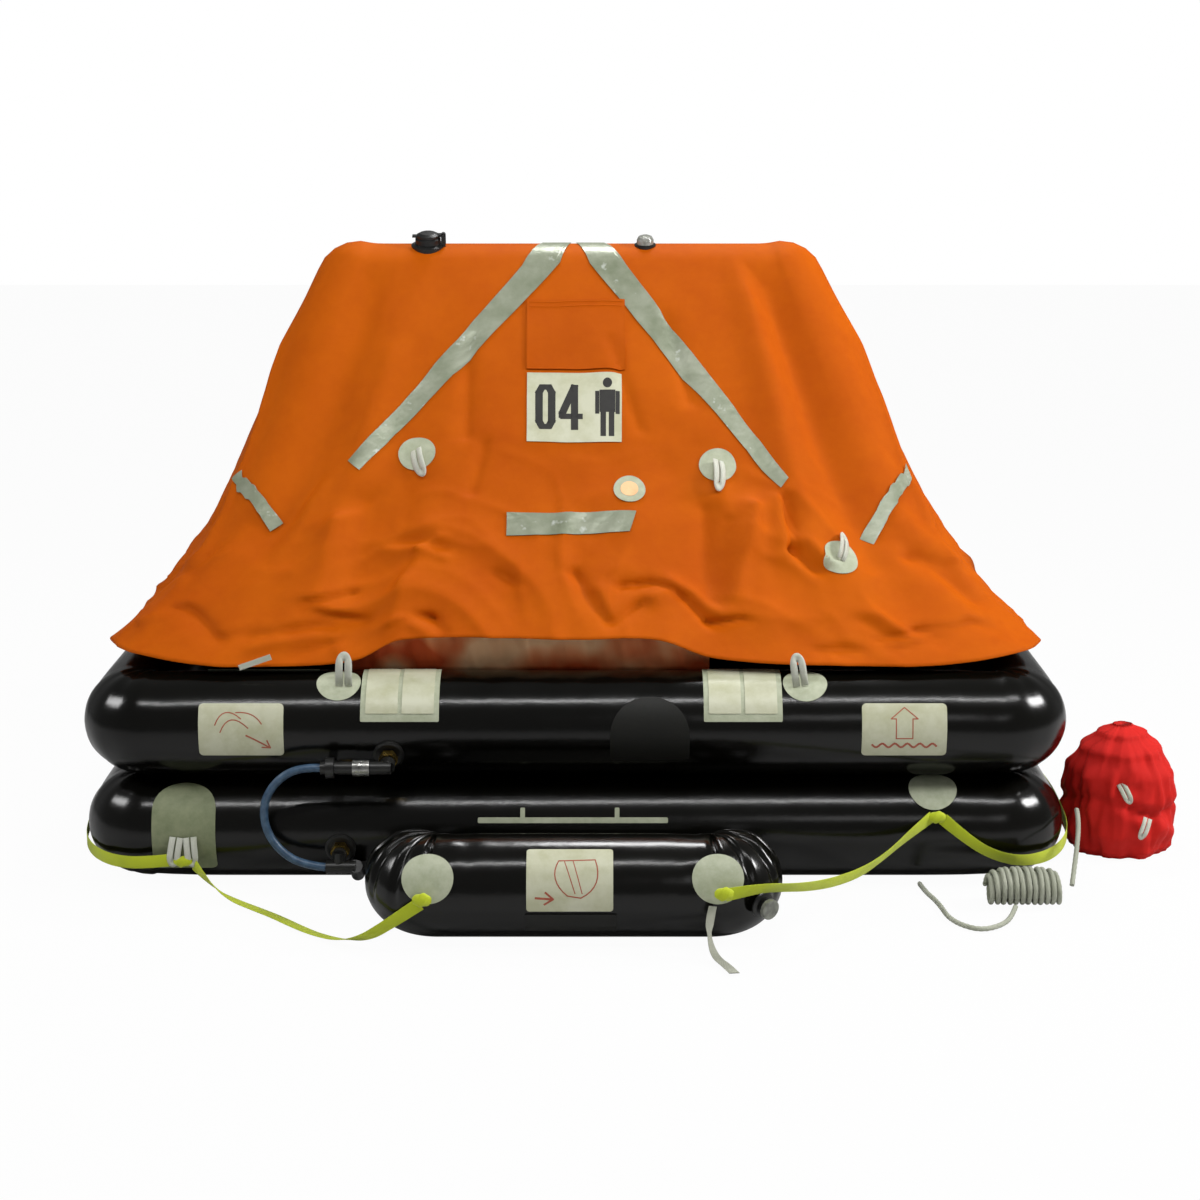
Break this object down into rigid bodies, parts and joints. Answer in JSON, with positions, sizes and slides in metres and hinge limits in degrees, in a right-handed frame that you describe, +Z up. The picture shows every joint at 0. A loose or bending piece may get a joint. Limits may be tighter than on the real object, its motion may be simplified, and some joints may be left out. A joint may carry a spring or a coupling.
{
  "type": "inflated canopied liferaft",
  "caption": "Inflated liferaft: two stacked tube rings, a floor, an orange canopy over an arch, a boarding ramp, an inflation hose, lifelines and a stowed drogue.",
  "frame": {"origin": "on the ground under the middle of the lower tube ring", "axes": "+Z up, +X along the raft's longer side, -Y out of the boarding side where the ramp is"},
  "size_m": [2.2335, 1.8978, 1.2351],
  "materials": {
    "black_fabric": "satin coated fabric",
    "grey_fabric": "matte coated fabric",
    "orange_cloth": "matte coated cloth",
    "curtain_cloth": "matte",
    "cream_label": "satin printed film",
    "grey_tape": "woven, slightly reflective",
    "patch_rubber": "matte",
    "black_plastic": "satin",
    "brass": "satin",
    "steel": "satin",
    "hose_rubber": "satin",
    "clear_plastic": "gloss",
    "grey_plastic": "satin",
    "cylinder_paint": "satin",
    "webbing": "woven",
    "line_yellow": "woven",
    "drogue_cloth": "matte cloth"
  },
  "bodies": {
    "raft": {"arch_foot_collars": "black_fabric", "arch_tube": "black_fabric", "arch_valve_body": "black_plastic", "ballast_pockets": "black_fabric", "boarding_label": "cream_label", "boarding_strap": "black_fabric", "canopy_eyelet": "steel", "canopy_front": "orange_cloth", "canopy_loops": "grey_tape", "canopy_patches": "grey_tape", "canopy_pocket": "orange_cloth", "canopy_rear": "orange_cloth", "capacity_card": "cream_label", "closure_panels": "patch_rubber", "closure_strips": "cream_label", "cylinder_head": "brass", "cylinder_straps": "webbing", "drogue_bag": "drogue_cloth", "drogue_line": "line_yellow", "drogue_tail": "line_yellow", "feed_tee": "black_plastic", "floor_sheet": "grey_fabric", "gas_cylinder": "cylinder_paint", "grab_line_corner": "line_yellow", "grab_line_dip": "line_yellow", "grab_line_left": "line_yellow", "grab_line_right": "line_yellow", "hose_clip": "black_plastic", "hose_ferrule": "steel", "hose_sleeve": "black_plastic", "hull_loops": "grey_tape", "hull_patches": "grey_tape", "inflation_hose": "hose_rubber", "inner_curtain": "curtain_cloth", "instruction_label_left": "cream_label", "instruction_label_right": "cream_label", "lamp_base": "black_plastic", "lamp_lens": "clear_plastic", "line_hank": "line_yellow", "lower_inlet_valve": "black_plastic", "lower_tube": "black_fabric", "ramp_deck": "grey_fabric", "ramp_flap": "black_fabric", "ramp_patches": "grey_tape", "ramp_strap": "webbing", "ramp_tube": "black_fabric", "ramp_valve_body": "black_plastic", "reflective_tapes": "grey_tape", "relief_patch": "black_fabric", "tie_strip": "grey_tape", "tie_tape": "grey_tape", "tongue_loops": "grey_tape", "tongue_patch": "grey_tape", "upper_elbow": "black_plastic", "upper_inlet_valve": "black_plastic", "upper_tube": "black_fabric"},
    "upper_nut": {"upper_union_nut": "brass"},
    "lower_nut": {"lower_union_nut": "brass"},
    "valve_lid": {"arch_valve_lid": "black_plastic"},
    "ramp_cap": {"ramp_valve_cap": "grey_plastic"}
  },
  "joints": [
    {"name": "upper_nut_turn", "type": "hinge", "parent": "raft", "child": "upper_nut", "pos_m": [-0.36, -0.72273, 0.26556], "axis": [0, -0.9272, -0.3746], "continuous": true},
    {"name": "lower_nut_turn", "type": "hinge", "parent": "raft", "child": "lower_nut", "pos_m": [-0.457, -0.72595, 0.08116], "axis": [0, -0.9816, -0.1908], "continuous": true},
    {"name": "valve_lid_hinge", "type": "hinge", "parent": "raft", "child": "valve_lid", "pos_m": [-0.285, -0.02516, 1.22691], "axis": [0, 0.9703, 0.2419], "range_deg": [0, 105]},
    {"name": "ramp_cap_turn", "type": "hinge", "parent": "raft", "child": "ramp_cap", "pos_m": [0.3553, -1.0514, 0.07797], "axis": [0.6028, -0.7836, -0.1507], "range_deg": [0, 540]}
  ]
}
